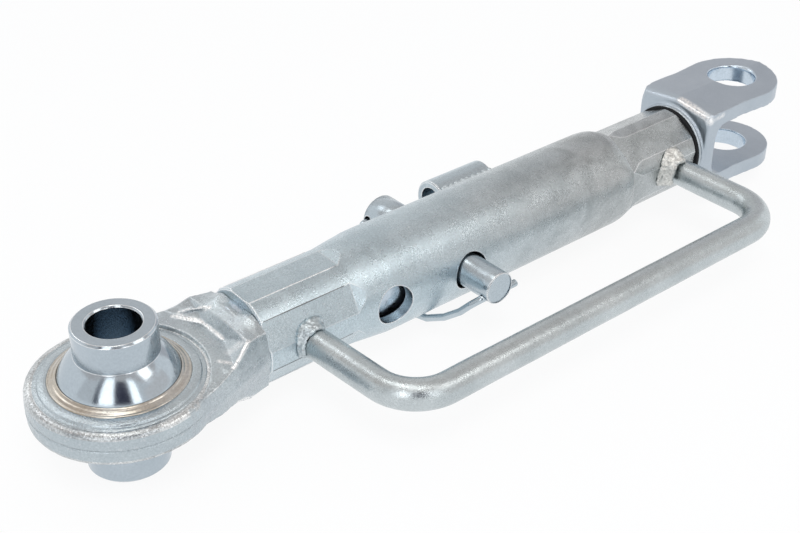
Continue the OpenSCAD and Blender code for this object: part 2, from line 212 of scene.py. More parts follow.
def zinc(name, light, dark, rough, grain=0.5, grain_scale=900.0, dents=0.25, dent_scale=160.0,
         edge=0.0009, flecks=0.0, spread=0.08, rings=0.0, salt=0.0, worn=None, strips=False):
    """Zinc plate: mottled colour, a fine grain, soft dents, and rounded edges with a painted highlight along
    them.

    worn gives two places along X and the colours that the plate turns to between them.
    strips takes the lines of a forging that get a painted highlight from its mesh.
    """
    mat, nt = tree(name)
    out = put(nt, "ShaderNodeOutputMaterial")
    bsdf = put(nt, "ShaderNodeBsdfPrincipled")
    bsdf.inputs["Metallic"].default_value = 1.0
    nt.links.new(bsdf.outputs["BSDF"], out.inputs["Surface"])
    coord = put(nt, "ShaderNodeTexCoord").outputs["Object"]

    broad = noise_node(nt, coord, 38.0, 4.0, 0.6)
    fine = noise_node(nt, coord, grain_scale, 3.0, 0.6)
    mid = noise_node(nt, coord, dent_scale, 3.0, 0.55)

    mix = put(nt, "ShaderNodeMix", data_type="RGBA")
    nt.links.new(ramp(nt, broad, [(0.30, grey(0.0)), (0.70, grey(1.0))]), mix.inputs["Factor"])
    mix.inputs["A"].default_value = (*dark, 1.0)
    mix.inputs["B"].default_value = (*light, 1.0)
    colour = mix.outputs["Result"]
    if worn is not None:
        x0, x1, far_light, far_dark = worn
        split = put(nt, "ShaderNodeSeparateXYZ")
        nt.links.new(coord, split.inputs[0])
        place = put(nt, "ShaderNodeMath", operation="MULTIPLY_ADD")
        nt.links.new(noise_node(nt, coord, 14.0, 3.0, 0.6), place.inputs[0])
        place.inputs[1].default_value = WANDER
        nt.links.new(split.outputs["X"], place.inputs[2])
        along = put(nt, "ShaderNodeMapRange")
        along.inputs["From Min"].default_value = x0 + WANDER / 2
        along.inputs["From Max"].default_value = x1 + WANDER / 2
        nt.links.new(place.outputs[0], along.inputs["Value"])
        blotch = put(nt, "ShaderNodeMix", data_type="RGBA")
        patches = noise_node(nt, coord, 55.0, 5.0, 0.62, 0.8)
        nt.links.new(ramp(nt, patches, [(0.38, grey(0.0)), (0.60, grey(1.0))]), blotch.inputs["Factor"])
        blotch.inputs["A"].default_value = (*far_dark, 1.0)
        blotch.inputs["B"].default_value = (*far_light, 1.0)
        join = put(nt, "ShaderNodeMix", data_type="RGBA")
        nt.links.new(along.outputs["Result"], join.inputs["Factor"])
        nt.links.new(colour, join.inputs["A"])
        nt.links.new(blotch.outputs["Result"], join.inputs["B"])
        colour = join.outputs["Result"]
    if flecks > 0.0:
        spots = noise_node(nt, coord, 420.0, 2.0, 0.7)
        gate = ramp(nt, spots, [(0.60, grey(0.0)), (0.72, grey(flecks))])
        fleck = put(nt, "ShaderNodeMix", data_type="RGBA")
        nt.links.new(gate, fleck.inputs["Factor"])
        nt.links.new(colour, fleck.inputs["A"])
        fleck.inputs["B"].default_value = PALE_FLECK
        colour = fleck.outputs["Result"]
    if salt > 0.0:
        speck = noise_node(nt, coord, grain_scale * 0.9, 1.0, 0.5)
        tone = put(nt, "ShaderNodeMapRange")
        tone.inputs["From Min"].default_value = 0.25
        tone.inputs["From Max"].default_value = 0.75
        tone.inputs["To Min"].default_value = 1.0 - salt
        tone.inputs["To Max"].default_value = 1.0 + salt
        nt.links.new(speck, tone.inputs["Value"])
        shade = put(nt, "ShaderNodeVectorMath", operation="SCALE")
        nt.links.new(colour, shade.inputs[0])
        nt.links.new(tone.outputs["Result"], shade.inputs["Scale"])
        colour = shade.outputs[0]
    normal = None
    if edge > 0.0:
        bevel = put(nt, "ShaderNodeBevel")
        bevel.samples = 6
        bevel.inputs["Radius"].default_value = edge
        normal = bevel.outputs["Normal"]
        geo = put(nt, "ShaderNodeNewGeometry")
        near = put(nt, "ShaderNodeVectorMath", operation="DOT_PRODUCT")
        nt.links.new(normal, near.inputs[0])
        nt.links.new(geo.outputs["Normal"], near.inputs[1])
        # Painted highlight: where the rounded normal turns away from the face's normal, the colour is mixed
        # towards a pale one
        edge_highlight_mask = put(nt, "ShaderNodeMapRange")
        edge_highlight_mask.inputs["From Min"].default_value = 0.9985
        edge_highlight_mask.inputs["From Max"].default_value = 0.985
        edge_highlight_mask.inputs["To Max"].default_value = 0.85
        nt.links.new(near.outputs["Value"], edge_highlight_mask.inputs["Value"])
        shine = put(nt, "ShaderNodeMix", data_type="RGBA")
        nt.links.new(edge_highlight_mask.outputs["Result"], shine.inputs["Factor"])
        nt.links.new(colour, shine.inputs["A"])
        shine.inputs["B"].default_value = EDGE_HIGHLIGHT
        colour = shine.outputs["Result"]
    # Painted highlight: patchy lighter colour along the ridges, read from the strip attribute
    if strips:
        mark = put(nt, "ShaderNodeAttribute", attribute_name="strip")
        patchy = put(nt, "ShaderNodeMath", operation="MULTIPLY")
        nt.links.new(mark.outputs["Fac"], patchy.inputs[0])
        speckle = noise_node(nt, coord, 750.0, 2.0, 0.6)
        nt.links.new(ramp(nt, speckle, [(0.34, grey(0.25)), (0.56, grey(1.0))]), patchy.inputs[1])
        lit = put(nt, "ShaderNodeMix", data_type="RGBA")
        nt.links.new(patchy.outputs[0], lit.inputs["Factor"])
        nt.links.new(colour, lit.inputs["A"])
        lit.inputs["B"].default_value = PAINTED_HIGHLIGHT_STRIP
        colour = lit.outputs["Result"]
    nt.links.new(colour, bsdf.inputs["Base Color"])

    rough_map = put(nt, "ShaderNodeMapRange")
    rough_map.inputs["From Min"].default_value = 0.3
    rough_map.inputs["From Max"].default_value = 0.7
    rough_map.inputs["To Min"].default_value = rough - spread
    rough_map.inputs["To Max"].default_value = rough + spread
    nt.links.new(mid, rough_map.inputs["Value"])
    nt.links.new(rough_map.outputs["Result"], bsdf.inputs["Roughness"])

    turned = None
    if rings > 0.0:
        turned = turning_marks(nt, coord)
    for height, strength, dist in ((mid, dents, DENT_DEPTH), (fine, grain, GRAIN_DEPTH),
                                   (turned, rings, GRAIN_DEPTH)):
        if strength <= 0.0:
            continue
        bump = put(nt, "ShaderNodeBump")
        bump.inputs["Strength"].default_value = strength
        bump.inputs["Distance"].default_value = dist
        nt.links.new(height, bump.inputs["Height"])
        if normal is not None:
            nt.links.new(normal, bump.inputs["Normal"])
        normal = bump.outputs["Normal"]
    nt.links.new(normal, bsdf.inputs["Normal"])
    return mat


M_TUBE = zinc("zinc_tube", (0.55, 0.64, 0.69), (0.46, 0.55, 0.60), 0.28, grain=0.80, grain_scale=1400.0,
              dents=0.30, flecks=0.15, salt=0.14, worn=(0.17, 0.30, (0.475, 0.51, 0.525), (0.36, 0.39, 0.40)))
M_FORGE = zinc("zinc_forging", (0.51, 0.57, 0.60), (0.44, 0.49, 0.53), 0.28, grain=0.80, grain_scale=1300.0,
               dents=0.40, edge=0.0006, flecks=0.20, salt=0.14, strips=True)
M_FORK = zinc("zinc_fork", (0.48, 0.54, 0.60), (0.43, 0.49, 0.55), 0.33, grain=0.32, grain_scale=1300.0,
              dents=0.07, spread=0.04, edge=0.0, flecks=0.05, salt=0.03, strips=True)
M_BORE = zinc("zinc_bore", (0.60, 0.69, 0.78), (0.52, 0.61, 0.70), 0.20, grain=0.20, dents=0.08,
              edge=0.0, salt=0.05)
M_SLIDER = zinc("zinc_slider", (0.60, 0.68, 0.76), (0.52, 0.60, 0.68), 0.28, grain=0.25, dents=0.15,
                edge=0.0, salt=0.06)
M_RIM = zinc("zinc_rim", (0.51, 0.575, 0.61), (0.44, 0.50, 0.54), 0.23, grain=0.80, grain_scale=1400.0,
             dents=0.30, edge=0.0, flecks=0.15, salt=0.10)
M_SCREW = zinc("zinc_screw", (0.50, 0.55, 0.59), (0.43, 0.48, 0.52), 0.30, grain=0.15, dents=0.08,
               edge=0.0)
# Painted highlight: pale colour of the thin burrs along the tube's flats
M_BURR_HIGHLIGHT = zinc("zinc_burr_highlight", (0.86, 0.88, 0.89), (0.74, 0.76, 0.78), 0.30, grain=0.30, dents=0.20,
              edge=0.0, salt=0.10)
# Painted shade: dark colour of the thin ridges beside the flats, standing for a step's shadow
M_SHADE_LINE = zinc("zinc_shade_line", (0.25, 0.27, 0.28), (0.19, 0.20, 0.21), 0.45, grain=0.30, dents=0.20,
              edge=0.0, salt=0.10)
# Painted highlight: a lighter, heavily flecked copy of the rim's zinc for the sparkling band on the rim's
# shoulder
M_LEDGE_HIGHLIGHT = zinc("zinc_ledge_highlight", (0.74, 0.77, 0.78), (0.40, 0.43, 0.45), 0.26, grain=0.90, grain_scale=1100.0,
               dents=0.45, edge=0.0, flecks=0.7, salt=0.32)
M_WELD_PALE = zinc("zinc_weld_pale", (0.70, 0.71, 0.69), (0.49, 0.50, 0.485), 0.36, grain=0.8, dents=0.8,
                   dent_scale=320.0, flecks=0.5, edge=0.0, salt=0.25)
M_BAR = zinc("zinc_bar", (0.55, 0.60, 0.62), (0.45, 0.50, 0.52), 0.28, grain=0.55, grain_scale=1200.0,
             dents=0.30, flecks=0.14, edge=0.0, salt=0.10)
M_BUSH = zinc("zinc_bush", (0.50, 0.58, 0.63), (0.43, 0.50, 0.55), 0.28, grain=0.2, dents=0.12,
              flecks=0.08, salt=0.08)
M_WELD = zinc("zinc_weld", (0.60, 0.66, 0.69), (0.43, 0.49, 0.52), 0.34, grain=0.8, dents=0.8,
              dent_scale=320.0, flecks=0.4, edge=0.0, salt=0.25)
M_PIN = zinc("zinc_pin", (0.50, 0.57, 0.62), (0.44, 0.51, 0.56), 0.25, grain=0.18, dents=0.08, salt=0.06)
M_WIRE = zinc("zinc_wire", (0.52, 0.59, 0.64), (0.45, 0.52, 0.57), 0.22, grain=0.08, dents=0.05,
              edge=0.0)
M_RACE = zinc("race_gold", (0.58, 0.58, 0.56), (0.47, 0.42, 0.35), 0.20, grain=0.20, dents=0.10,
              edge=0.0, rings=0.15, salt=0.08)
M_BALL = zinc("ball_chrome", (0.475, 0.54, 0.595), (0.435, 0.50, 0.555), 0.15, grain=0.07, dents=0.03,
              edge=0.0006, spread=0.03, rings=0.03, salt=0.04)


def rubber():
    """Matte black rubber with a fine grain."""
    mat, nt = tree("black_rubber")
    out = put(nt, "ShaderNodeOutputMaterial")
    bsdf = put(nt, "ShaderNodeBsdfPrincipled")
    nt.links.new(bsdf.outputs["BSDF"], out.inputs["Surface"])
    tex = put(nt, "ShaderNodeTexCoord")
    fine = noise_node(nt, tex.outputs["Object"], 700.0, 3.0, 0.6)
    nt.links.new(ramp(nt, fine, [(0.3, (0.003, 0.004, 0.005)), (0.7, (0.010, 0.011, 0.013))]),
                 bsdf.inputs["Base Color"])
    bsdf.inputs["Roughness"].default_value = 0.6
    bsdf.inputs["Specular IOR Level"].default_value = 0.2
    bump = put(nt, "ShaderNodeBump")
    bump.inputs["Strength"].default_value = 0.2
    bump.inputs["Distance"].default_value = GRAIN_DEPTH
    nt.links.new(fine, bump.inputs["Height"])
    nt.links.new(bump.outputs["Normal"], bsdf.inputs["Normal"])
    return mat


M_SEAL = rubber()


def dress(node, mat):
    """Gives a CAD node its material."""
    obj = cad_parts[node]
    obj.data.materials.clear()
    obj.data.materials.append(mat)
    for slot in obj.material_slots:
        slot.material = mat


for node, mat in (("tube", M_TUBE), ("handle", M_BAR), ("handle_weld_left", M_WELD),
                  ("handle_weld_right", M_WELD), ("side_bush", M_BUSH), ("bush_weld_upper", M_WELD),
                  ("bush_weld_lower", M_WELD), ("eye_end", M_FORGE), ("race_upper", M_RACE),
                  ("race_lower", M_RACE), ("ball", M_BALL), ("seal_ring", M_SEAL),
                  ("clevis", M_FORGE), ("lock_pin", M_PIN), ("wire_bail", M_WIRE)):
    dress(node, mat)


# Pieces that stand for CAD nodes

def stand_for(obj, mat, body, slot, *nodes):
    """Gives a new piece its material, hangs it on the body it rides on, and hides the CAD nodes it stands
    for.
    """
    obj.data.materials.clear()
    obj.data.materials.append(mat)
    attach(obj, body)
    if nodes:
        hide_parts(*nodes)
    return obj


def corner_path(a, b, c, bend, steps):
    """The points of one rounded corner at b, with its bend radius."""
    d1 = (b - a).normalized()
    d2 = (c - b).normalized()
    turn = math.acos(max(-1.0, min(1.0, d1.dot(d2))))
    cut = bend * math.tan(turn / 2)
    side = (d2 - d1 * d1.dot(d2)).normalized()
    centre = b - d1 * cut + side * bend
    out = []
    for k in range(steps + 1):
        t = turn * k / steps
        out.append(centre + bend * (d1 * math.sin(t) - side * math.cos(t)))
    return out


def rounded_path(pts, bend, steps):
    """A path through some points with all its corners rounded."""
    pts = [Vector(p) for p in pts]
    out = [pts[0]]
    for i in range(1, len(pts) - 1):
        out += corner_path(pts[i - 1], pts[i], pts[i + 1], bend, steps)
    out.append(pts[-1])
    return out


def even_path(pts, step):
    """The same path with points at an even distance."""
    out = [pts[0]]
    for a, b in zip(pts, pts[1:]):
        n = max(1, round((b - a).length / step))
        out += [a.lerp(b, k / n) for k in range(1, n + 1)]
    return out


def sweep(name, path, radius, n, end_round=0.0, wobble=0.0, seed=0.0):
    """A round bar along a path, stepped in at its ends by end_round and slightly uneven."""
    rows = []
    count = len(path)
    normal = Vector((0.0, 0.0, 1.0))
    for i, p in enumerate(path):
        t = (path[min(i + 1, count - 1)] - path[max(i - 1, 0)]).normalized()
        normal = (normal - t * normal.dot(t)).normalized()
        rows.append((p, t, normal.copy()))
    verts = []
    rings = []

    def add_ring(p, t, m, r):
        side = t.cross(m)
        start = len(verts)
        for k in range(n):
            a = 2 * math.pi * k / n
            out = m * math.cos(a) + side * math.sin(a)
            q = p + out * r
            if wobble > 0.0:
                q += out * wobble * noise.noise(q * 0.05 + Vector((seed, 0.0, 0.0)))
            verts.append(q * MM)
        rings.append(start)

    def add_end_ring(row, k, way):
        p, t, m = row
        a = math.pi / 2 * k / steps
        inset = end_round * (1 - math.cos(a)) if k else end_round
        add_ring(p + t * way * end_round * (1 - math.sin(a)), t, m, radius - inset)

    steps = 5 if end_round > 0.0 else 0
    for k in range(steps):
        add_end_ring(rows[0], k, 1)
    for i, (p, t, m) in enumerate(rows):
        if end_round > 0.0 and i in (0, count - 1):
            continue
        add_ring(p, t, m, radius)
    for k in reversed(range(steps)):
        add_end_ring(rows[-1], k, -1)
    faces = []
    for a, b in zip(rings, rings[1:]):
        for k in range(n):
            k2 = (k + 1) % n
            faces.append((a + k, a + k2, b + k2, b + k))
    for ring in (rings[0], rings[-1]):
        mid = len(verts)
        verts.append(sum((verts[ring + k] for k in range(n)), Vector()) / n)
        faces += [(ring + k, ring + (k + 1) % n, mid) for k in range(n)]
    return mesh_object(name, verts, faces)


def lathe(name, profile, n, axis="Z"):
    """A closed turned shape about Z or X from a closed profile of (radius, height), in millimetres."""
    verts = []
    for k in range(n):
        a = 2 * math.pi * k / n
        for r, h in profile:
            if axis == "Z":
                q = Vector((r * math.cos(a), r * math.sin(a), h))
            else:
                q = Vector((h, r * math.cos(a), r * math.sin(a)))
            verts.append(q * MM)
    m = len(profile)
    faces = []
    for k in range(n):
        k2 = (k + 1) % n
        for i in range(m):
            i2 = (i + 1) % m
            faces.append((k * m + i, k * m + i2, k2 * m + i2, k2 * m + i))
    return mesh_object(name, verts, faces)


def cad_copy(node, name):
    """A new object with a copy of a CAD node's mesh."""
    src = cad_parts[node]
    obj = link(bpy.data.objects.new(name, src.data.copy()))
    obj.data.materials.clear()
    return obj


def cut(obj, cutter, operation="DIFFERENCE"):
    """Cuts obj with another object, or keeps what both share, and removes the other."""
    mod = obj.modifiers.new("cut", "BOOLEAN")
    mod.operation = operation
    mod.solver = "EXACT"
    mod.object = cutter
    apply_modifiers(obj)
    bpy.data.objects.remove(cutter)


def block(name, low, high):
    """A box to cut with, in millimetres."""
    (x0, y0, z0), (x1, y1, z1) = low, high
    verts = [Vector((x, y, z)) * MM for x in (x0, x1) for y in (y0, y1) for z in (z0, z1)]
    faces = [(0, 1, 3, 2), (4, 6, 7, 5), (0, 4, 5, 1), (2, 3, 7, 6), (0, 2, 6, 4), (1, 5, 7, 3)]
    return mesh_object(name, verts, faces)


def keep_between(obj, x0, x1, half=WIDE):
    """Keeps what lies between two places along X, in millimetres."""
    cut(obj, block("keep", (x0, -half, -half), (x1, half, half)), "INTERSECT")


def crease(obj, degrees):
    """Shades edges that turn by more than an angle as sharp."""
    obj.data.set_sharp_from_angle(angle=math.radians(degrees))


def soften(obj, voxel, rounds):
    """Rounds the edges of a forging: an even mesh, smoothed a few times."""
    mod = obj.modifiers.new("even", "REMESH")
    mod.mode = "VOXEL"
    mod.voxel_size = voxel * MM
    mod.adaptivity = 0.0
    sm = obj.modifiers.new("smooth", "SMOOTH")
    sm.factor = 0.5
    sm.iterations = rounds
    apply_modifiers(obj)


def rough_up(obj, move):
    """Moves each point of a mesh along its normal, by what move gives for its place."""
    mesh = obj.data
    shifts = [v.normal * move(v.co / MM) * MM for v in mesh.vertices]
    for v, shift in zip(mesh.vertices, shifts):
        v.co += shift
    mesh.update()


# Tube, with crisp edges along its pressed flats

swaged = cad_copy("tube", "tube_swaged")
crease(swaged, 9.0)
stand_for(swaged, M_TUBE, "tube", "zinc_tube", "tube")

# Thin burrs that the press left along the flats at the eye, coloured pale as a painted highlight, and thin
# dark ridges that paint the shade of a step beside them

FLAT_MIDDLE = 27.5
FLAT_HALF = math.degrees(math.acos(FLAT_R / SWAGE_R))


def along_tube(angle, x0, x1, radius):
    """Points of a straight line along the tube at an angle from the handle's side."""
    a = math.radians(angle)
    y = -radius * math.cos(a)
    z = radius * math.sin(a)
    return even_path([Vector((x0, y, z)), Vector((x1, y, z))], 3.0)


for k in range(6):
    middle = FLAT_MIDDLE + 60.0 * k
    if k != 0:
        path = along_tube(middle - FLAT_HALF, 67.2, 119.5, SWAGE_R - 0.07)
        burr = sweep("press_burr_%d" % k, path, 0.34, 8, wobble=0.12, seed=k * 3.0)
        stand_for(burr, M_BURR_HIGHLIGHT, "tube", "zinc_tube", "tube")
    if k != 1:
        # Painted shade: a thin dark ridge where a step's shadow falls along the flat
        path = along_tube(middle + FLAT_HALF, 68.0, 117.0, SWAGE_R - 0.14)
        line = sweep("press_shade_line_%d" % k, path, 0.30, 8, wobble=0.10, seed=k * 5.0)
        stand_for(line, M_SHADE_LINE, "tube", "zinc_tube", "tube")

# Handle

HANDLE_PTS = [(92.0, -23.6, 0.0), (95.6, -HANDLE_Y, 0.0), (364.0, -HANDLE_Y, 0.0), (364.0, -21.8, 0.0)]
HANDLE_BEND = 24.0
HANDLE_R = 8.0
bar_path = even_path(rounded_path(HANDLE_PTS, HANDLE_BEND, 20), 2.0)
bar = sweep("handle_bar", bar_path, HANDLE_R, 48, wobble=0.10, seed=3.0)
stand_for(bar, M_BAR, "tube", "zinc_bar", "handle")

# Bail, bent from one wire: its leg through the pin's tip, and the rest of it about the turned pin

PIN_TURN = math.radians(9.0)
HOLE_Y = -45.8
HOLE_Z = -4.8
WIRE_R = 2.0
WIRE_BEND = 2.6
BAIL_TIP = [(PIN_X + 15.6, HOLE_Y, HOLE_Z), (PIN_X - 8.4, HOLE_Y, HOLE_Z), (PIN_X - 12.6, -41.8, -8.9)]
BAIL_PTS = [(-12.6, -36.4, -17.2), (-12.9, -26.2, -25.4), (-13.2, -14.0, -32.0), (-13.6, 0.0, -34.6),
            (-14.2, 14.0, -33.4), (-14.9, 28.0, -26.6), (-15.6, 39.0, -15.6), (-15.9, 44.0, -0.6),
            (16.5, 44.0, -0.6)]


def at_pin(p):
    """A point given from the turned pin's axis."""
    x, y, z = p
    return (PIN_X + x * math.cos(PIN_TURN) + z * math.sin(PIN_TURN), y,
            -x * math.sin(PIN_TURN) + z * math.cos(PIN_TURN))


wire_path = rounded_path(BAIL_TIP + [at_pin(p) for p in BAIL_PTS], WIRE_BEND, 8)
wire = sweep("bail_wire", even_path(wire_path, 1.0), WIRE_R, 24, end_round=0.6)
stand_for(wire, M_WIRE, "bail", "zinc_wire", "wire_bail")

# Lock pin: its turned body, and a tip whose cross hole takes the wire

TIP_Y = -42.4
HOLE_R = 2.25
pin_body = cad_copy("lock_pin", "pin_body")
cut(pin_body, block("keep", (150.0, TIP_Y, -40.0), (240.0, 120.0, 40.0)), "INTERSECT")
tip_path = [Vector((PIN_X, y, 0.0)) for y in (TIP_Y, -44.0, -47.0, PIN_END_Y)]
pin_tip = sweep("pin_tip", tip_path, PIN_R, 96, end_round=0.9)
for v in pin_tip.data.vertices:
    if v.co.y > (TIP_Y - 1.0) * MM:
        far = Vector((v.co.x - PIN_X * MM, 0.0, v.co.z))
        if far.length > PIN_R / 2 * MM:
            v.co = Vector((PIN_X * MM, TIP_Y * MM, 0.0)) + far.normalized() * PIN_R * MM
        else:
            v.co.y = TIP_Y * MM
drill_path = [Vector((PIN_X + x, HOLE_Y, HOLE_Z)) for x in (-15.0, 15.0)]
cut(pin_tip, sweep("drill", drill_path, HOLE_R, 32))
for obj in (pin_body, pin_tip):
    bm = bmesh.new()
    bm.from_mesh(obj.data)
    caps = [f for f in bm.faces if abs(f.calc_center_median().y - TIP_Y * MM) < 0.02 * MM]
    bmesh.ops.delete(bm, geom=caps, context="FACES")
    bm.to_mesh(obj.data)
    bm.free()
    crease(obj, 30.0)
    stand_for(obj, M_PIN, "pin", "zinc_pin", "lock_pin")


# Welds

def weld(node, name, ripple, lump, seed, shrink=None, shift=(0.0, 0.0, 0.0), mat=M_WELD):
    """A weld from its CAD solid, with ripples along X and lumps, shrunk about a point and shifted."""
    obj = cad_copy(node, name)
    if shrink is not None:
        centre, amount = shrink
        for v in obj.data.vertices:
            v.co = Vector(centre) * MM + (v.co - Vector(centre) * MM) * amount
    soften(obj, 0.5, 4)

    def move(p):
        q = p + Vector((seed, 0.0, 0.0))
        beads = ripple * math.sin(p.x * 1.5 + 0.8 * noise.noise(q * 0.25))
        return beads + lump * noise.noise(q * 0.22) + 0.35 * lump * noise.noise(q * 0.75)

    rough_up(obj, move)
    for v in obj.data.vertices:
        v.co += Vector(shift) * MM
    return stand_for(obj, mat, "tube", "zinc_weld", node)


weld("handle_weld_left", "weld_left", 0.0, 0.9, 5.0)
weld("handle_weld_right", "weld_right", 0.0, 1.0, 17.0, shrink=((356.0, -22.0, 3.0), 0.92),
     shift=(-2.6, 0.0, 0.8), mat=M_WELD_PALE)
weld("bush_weld_upper", "weld_bush_upper", 0.35, 0.5, 29.0)
weld("bush_weld_lower", "weld_bush_lower", 0.35, 0.5, 41.0)


# Eye: its turned rim, and the forged block with the slider

RIM_BORE = (33.2, 10.3)
RIM_HALF = [(33.5, 10.45), (35.4, 10.05), (37.2, 9.75), (37.42, 9.66), (37.62, 8.8), (37.95, 8.6),
            (39.4, 8.95), (39.62, 8.85), (39.85, 8.25), (40.3, 8.5), (41.6, 8.4), (42.6, 8.0), (43.3, 7.5),
            (43.75, 6.7), (43.95, 5.8), (44.05, 4.0), (44.12, 1.5), (44.2, 0.42), (43.95, 0.2)]
LEDGE_R = 39.9
LEDGE_Z = (6.0, 8.7)
rim_profile = [(RIM_BORE[0], -RIM_BORE[1]), RIM_BORE] + RIM_HALF + [(r, -h) for r, h in reversed(RIM_HALF)]
rim = lathe("eye_rim", rim_profile, 192)
rough_up(rim, lambda p: 0.12 * noise.noise(p * 0.35) if math.hypot(p.x, p.y) > 39.6 else 0.0)
stand_for(rim, M_RIM, "eye", "zinc_forging", "eye_end")
# Painted highlight: the faces of the shoulder band take the lighter, flecked zinc
rim.data.materials.append(M_LEDGE_HIGHLIGHT)
for face in rim.data.polygons:
    x, y, z = face.center
    if math.hypot(x, y) > LEDGE_R * MM and LEDGE_Z[0] * MM < abs(z) < LEDGE_Z[1] * MM:
        face.material_index = 1


def distance_to(p, path):
    """The distance in millimetres from a point to a line of points."""
    best = 1e9
    for a, b in zip(path, path[1:]):
        ab = b - a
        t = max(0.0, min(1.0, (p - a).dot(ab) / ab.length_squared))
        best = min(best, (p - a - ab * t).length)
    return best


def mark_strips(obj, strips):
    """Says how near each point is to the burred ridges and edges of the forging, which get a painted
    highlight.
    """
    mesh = obj.data
    layer = mesh.attributes.new("strip", "FLOAT", "POINT")
    values = []
    widest = max(reach for _, reach, _ in strips)
    low = min(q.x for path, _, _ in strips for q in path) - widest
    high = max(q.x for path, _, _ in strips for q in path) + widest
    for v in mesh.vertices:
        p = v.co / MM
        best = 0.0
        for path, reach, weight in strips if low < p.x < high else ():
            d = distance_to(p, path)
            if d < reach:
                edge = 1.0 - d / reach
                best = max(best, weight * min(1.0, 1.8 * edge))
        values.append(best)
    layer.data.foreach_set("value", values)


def join(obj, *others):
    """Puts the meshes of other objects into obj."""
    bm = bmesh.new()
    bm.from_mesh(obj.data)
    for other in others:
        bm.from_mesh(other.data)
        bpy.data.objects.remove(other)
    bm.to_mesh(obj.data)
    bm.free()


# The forging's lines of painted highlight along its burred ridges: their points, the bead's radius, the reach
# of the painted highlight and its strength
EYE_STRIPS = [
    ([(44.1, 23.7, 9.9), (50.4, 13.5, 9.9), (52.6, 9.0, 9.9), (52.2, -7.2, 9.9)], 0.9, 1.9, 1.0),
    ([(46.5, 22.9, 11.4), (50.2, 20.0, 12.8), (53.1, 15.1, 15.1), (56.0, 9.5, 17.0)], 0.9, 1.7, 0.9),
    ([(42.8, -29.8, 10.0), (49.0, -27.2, 13.1), (54.9, -24.4, 16.1)], 0.8, 1.8, 1.0),
    ([(40.5, -21.2, 9.9), (43.5, -26.2, 9.9)], 0.7, 1.6, 0.8),
    ([(47.5, -18.5, 11.6), (53.0, -21.0, 15.4)], 0.0, 3.4, 0.4)]
beads = []
eye_marks = []
for side in (1.0, -1.0):
    for i, (pts, bead, reach, weight) in enumerate(EYE_STRIPS):
        path = [Vector((x, y, side * z)) for x, y, z in pts]
        eye_marks.append((path, reach, weight))
        if bead > 0.0:
            beads.append(sweep("bead", even_path(path, 1.5), bead, 10, wobble=0.5, seed=i * 7.0))

# The block's end in the construction, and where it is cut once its edges are rounded
BLOCK_X1 = 65.6
BLOCK_END = 66.1
SPARE = 2.4
slider = cad_copy("eye_end", "eye_slider")
keep_between(slider, 60.0, 290.0, 24.4)
soften(slider, 0.9, 1)
stand_for(slider, M_SLIDER, "eye", "zinc_forging", "eye_end")

forged = cad_copy("eye_end", "eye_block")
keep_between(forged, 10.0, BLOCK_X1)
for v in forged.data.vertices:
    if v.co.x > (BLOCK_X1 - 0.05) * MM:
        v.co.x = (BLOCK_X1 + SPARE) * MM
RIM_ROOM_R = 41.5
cut(forged, lathe("bore", [(0.01, -40.0), (RIM_ROOM_R, -40.0), (RIM_ROOM_R, 40.0), (0.01, 40.0)], 128))
join(forged, *beads)
soften(forged, 0.5, 3)


def forged_move(p):
    """Hammer marks on the block, and full shoulders where it meets the tube."""
    shoulder = max(0.0, min(1.0, (p.x - 56.0) / 8.0)) * math.exp(-((abs(p.y) - 12.5) / 5.0) ** 2)
    if abs(p.z) < 12.0:
        shoulder = 0.0
    return 0.16 * noise.noise(p * 0.16) + 0.07 * noise.noise(p * 0.5) + 1.5 * shoulder


rough_up(forged, forged_move)
keep_between(forged, 0.0, BLOCK_END)
crease(forged, 50.0)
mark_strips(forged, eye_marks)
stand_for(forged, M_FORGE, "eye", "zinc_forging", "eye_end")

# Races: turned rings with a rounded lip

RACE_OUTER = [(33.18, 0.25), (33.18, 10.35), (32.9, 10.62), (32.35, 10.75), (32.1, 10.7), (31.9, 10.78),
              (31.2, 11.2), (30.4, 11.62), (30.1, 11.62), (29.9, 11.75), (29.5, 12.15), (29.0, 12.45),
              (28.7, 12.5), (28.52, 12.35)]
GAP_R = 31.3
RACE_INNER = [(math.sqrt(GAP_R ** 2 - h * h) + 0.02, h) for h in (12.2, 10.5, 8.5, 6.5, 4.5, 2.5, 0.25)]
for name, way in (("race_upper", 1.0), ("race_lower", -1.0)):
    ring = lathe(name + "_ring", [(r, way * h) for r, h in RACE_OUTER + RACE_INNER], 160)
    stand_for(ring, M_RACE, "eye", "race_gold", name)

# Fork: its forging, and the screwed shank with its thread

fork = cad_copy("clevis", "fork_forging")
keep_between(fork, FORK_X0, 520.0)
soften(fork, 0.55, 3)
rough_up(fork, lambda p: 0.05 * noise.noise(p * 0.2))
# The fork's lines of painted highlight along its edges: their points, the reach of the painted highlight and
# its strength
FORK_STRIPS = [([(388.6, -3.0, 28.4), (388.8, -14.0, 25.0), (389.4, -25.0, 21.6)], 3.4, 0.9),
               ([(389.4, -25.0, 21.6), (399.0, -26.4, 23.4)], 2.2, 0.6)]
fork_marks = []
for over in (1.0, -1.0):
    for pts, reach, weight in FORK_STRIPS:
        path = [Vector((x, y, FORK_LIFT + over * z)) for x, y, z in pts]
        fork_marks.append((path, reach, weight))
mark_strips(fork, fork_marks)
stand_for(fork, M_FORK, "fork", "zinc_forging", "clevis")
fork.data.materials.append(M_BORE)
BORE_REACH = 15.2
for face in fork.data.polygons:
    if math.hypot(face.center.x / MM - EAR_X, face.center.y / MM) < BORE_REACH:
        face.material_index = 1

SHANK_R = 17.9
PITCH = 3.5
THREAD_DEPTH = 1.9
THREAD_X0 = 301.0
THREAD_X1 = 381.0
SHANK_X0 = THREAD_X0 - 0.9
COLLAR_X1 = 387.6
COLLAR = ((383.66, SHANK_R), (383.7, 24.6), (384.0, 25.2), (COLLAR_X1, 25.3))


